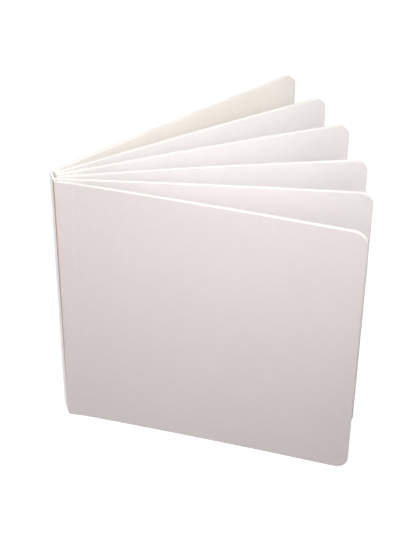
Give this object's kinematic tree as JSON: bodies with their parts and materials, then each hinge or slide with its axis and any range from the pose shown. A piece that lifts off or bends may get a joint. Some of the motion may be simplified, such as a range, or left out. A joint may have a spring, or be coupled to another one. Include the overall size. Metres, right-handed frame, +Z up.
{
  "type": "board book",
  "caption": "Blank square board book of thick white card, standing fanned open on its bottom edges, with rounded fore-edge corners and covers that fold at a flat spine.",
  "frame": {"origin": "at the foot of the spine strip, midway between its two folds and halfway through its card", "axes": "+Z up the spine, +X from the spine towards the fore-edges in the middle of the fan, +Y from the front cover towards the back cover"},
  "size_m": [0.1535, 0.143, 0.1524],
  "materials": {
    "cover_card": "matt",
    "page_card": "matt"
  },
  "bodies": {
    "root": {"spine": "cover_card", "page_block": "page_card"},
    "front_cover": {"front_cover": "cover_card"},
    "back_cover": {"back_cover": "cover_card"}
  },
  "joints": [
    {"name": "front_cover_fold", "type": "hinge", "parent": "root", "child": "front_cover", "pos_m": [0, -0.00477, 0], "axis": [0, 0, 1], "range_deg": [-147.3, 8.5]},
    {"name": "back_cover_fold", "type": "hinge", "parent": "root", "child": "back_cover", "pos_m": [0, 0.00477, 0], "axis": [0, 0, 1], "range_deg": [-8, 160.2]}
  ]
}
